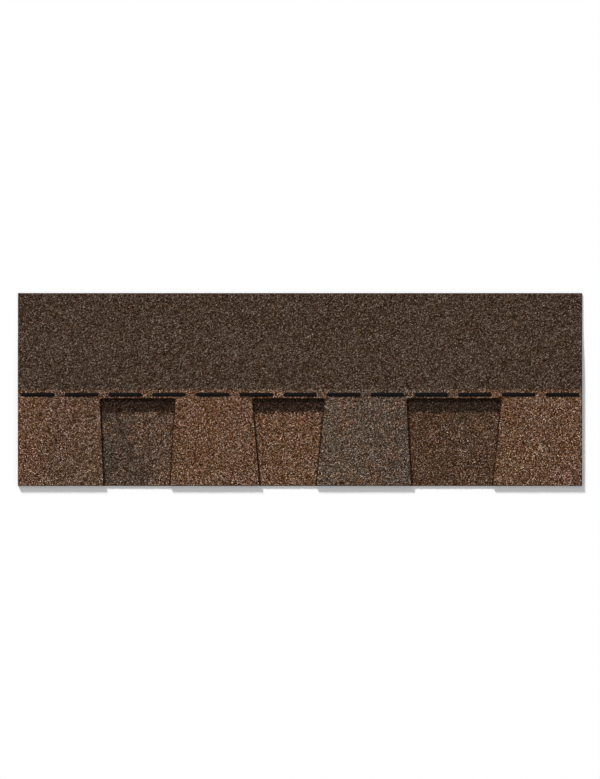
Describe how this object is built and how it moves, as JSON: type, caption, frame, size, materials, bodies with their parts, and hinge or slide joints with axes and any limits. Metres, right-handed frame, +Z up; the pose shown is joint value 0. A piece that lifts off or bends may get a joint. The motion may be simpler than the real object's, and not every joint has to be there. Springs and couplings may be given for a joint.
{
  "type": "asphalt shingle",
  "caption": "Laminated asphalt strip shingle with flared tabs over a backer strip, granule face, plain headlap with a sealant line, for covering a pitched roof.",
  "frame": {"origin": "centre of the bounding box on the floor, under the middle of the strip", "axes": "+X along the strip, +Y from the butt edge up the slope to the top edge, +Z up, out of the granule face"},
  "size_m": [0.9842, 0.3366, 0.0057],
  "materials": {
    "top_granules": "mineral granules bedded in asphalt, matt",
    "backer_granules": "mineral granules bedded in asphalt, matt",
    "asphalt_sealant": "tacky asphalt, glossy",
    "clear_film": "clear polyester film"
  },
  "bodies": {
    "root": {"top_layer": "top_granules", "backer_strip": "backer_granules", "sealant_strip": "asphalt_sealant", "release_film": "clear_film"}
  },
  "joints": []
}
